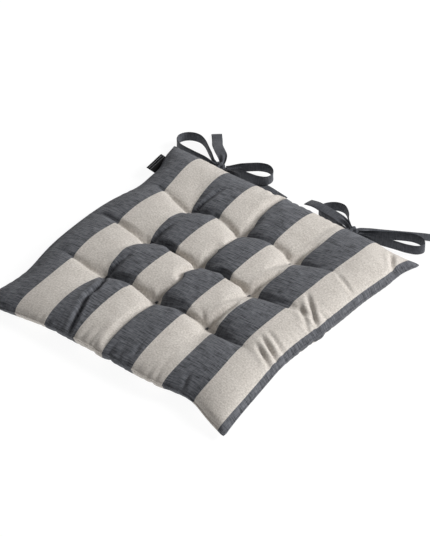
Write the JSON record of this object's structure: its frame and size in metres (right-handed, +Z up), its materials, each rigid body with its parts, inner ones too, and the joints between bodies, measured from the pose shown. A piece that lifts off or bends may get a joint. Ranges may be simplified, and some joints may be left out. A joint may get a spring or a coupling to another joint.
{
  "type": "chair seat pad",
  "caption": "Square tufted seat pad: two striped fabric covers sewn round a fibre filling, stitched tufts, a side label and two pairs of ribbon ties in bows.",
  "frame": {"origin": "under the centre of the footprint of the pad and its label, on the flat underside", "axes": "+X to the right, +Y towards the rear edge with the ties, +Z up"},
  "size_m": [0.4724, 0.5504, 0.0511],
  "materials": {
    "cover_fabric": "woven cotton blend in wide charcoal and greige stripes, matt",
    "filling_fibre": "white polyester fibre, fluffy",
    "seam_thread": "matt sewing thread",
    "tuft_thread": "matt twisted thread",
    "tie_ribbon": "charcoal woven cotton, folded and topstitched, matt",
    "label_weave": "dense black woven tape with a slight sheen"
  },
  "bodies": {
    "pad": {"top_cover": "cover_fabric", "bottom_cover": "cover_fabric", "filling": "filling_fibre", "edge_seam": "seam_thread", "tuft_tack_rear_left": "tuft_thread", "tuft_tack_centre_left": "tuft_thread", "tuft_tack_front_left": "tuft_thread", "tuft_tack_rear_middle": "tuft_thread", "tuft_tack_centre_middle": "tuft_thread", "tuft_tack_front_middle": "tuft_thread", "tuft_tack_rear_right": "tuft_thread", "tuft_tack_centre_right": "tuft_thread", "tuft_tack_front_right": "tuft_thread", "left_tie_bartack": "seam_thread", "right_tie_bartack": "seam_thread"},
    "left_ties": {"left_tie_a_root": "tie_ribbon", "left_tie_b_root": "tie_ribbon", "left_tie_a_loop": "tie_ribbon", "left_tie_b_loop": "tie_ribbon", "left_tie_a_tail": "tie_ribbon", "left_tie_b_tail": "tie_ribbon", "left_bow_knot": "tie_ribbon"},
    "right_ties": {"right_tie_a_root": "tie_ribbon", "right_tie_b_root": "tie_ribbon", "right_tie_a_loop": "tie_ribbon", "right_tie_b_loop": "tie_ribbon", "right_tie_a_tail": "tie_ribbon", "right_tie_b_tail": "tie_ribbon", "right_bow_knot": "tie_ribbon"},
    "side_label": {"side_label": "label_weave"}
  },
  "joints": [
    {"name": "left_ties_swing", "type": "hinge", "parent": "pad", "child": "left_ties", "pos_m": [-0.1444, 0.22348, 0.01628], "axis": [1, 0, 0], "range_deg": [-65, 60]},
    {"name": "right_ties_swing", "type": "hinge", "parent": "pad", "child": "right_ties", "pos_m": [0.1096, 0.22076, 0.01858], "axis": [1, 0, 0], "range_deg": [-65, 60]},
    {"name": "label_flip", "type": "hinge", "parent": "pad", "child": "side_label", "pos_m": [-0.21852, 0.178, 0.0143], "axis": [-0.0879, 0.9961, 0], "range_deg": [-45, 55], "stiffness_Nm_per_rad": 0.001}
  ]
}
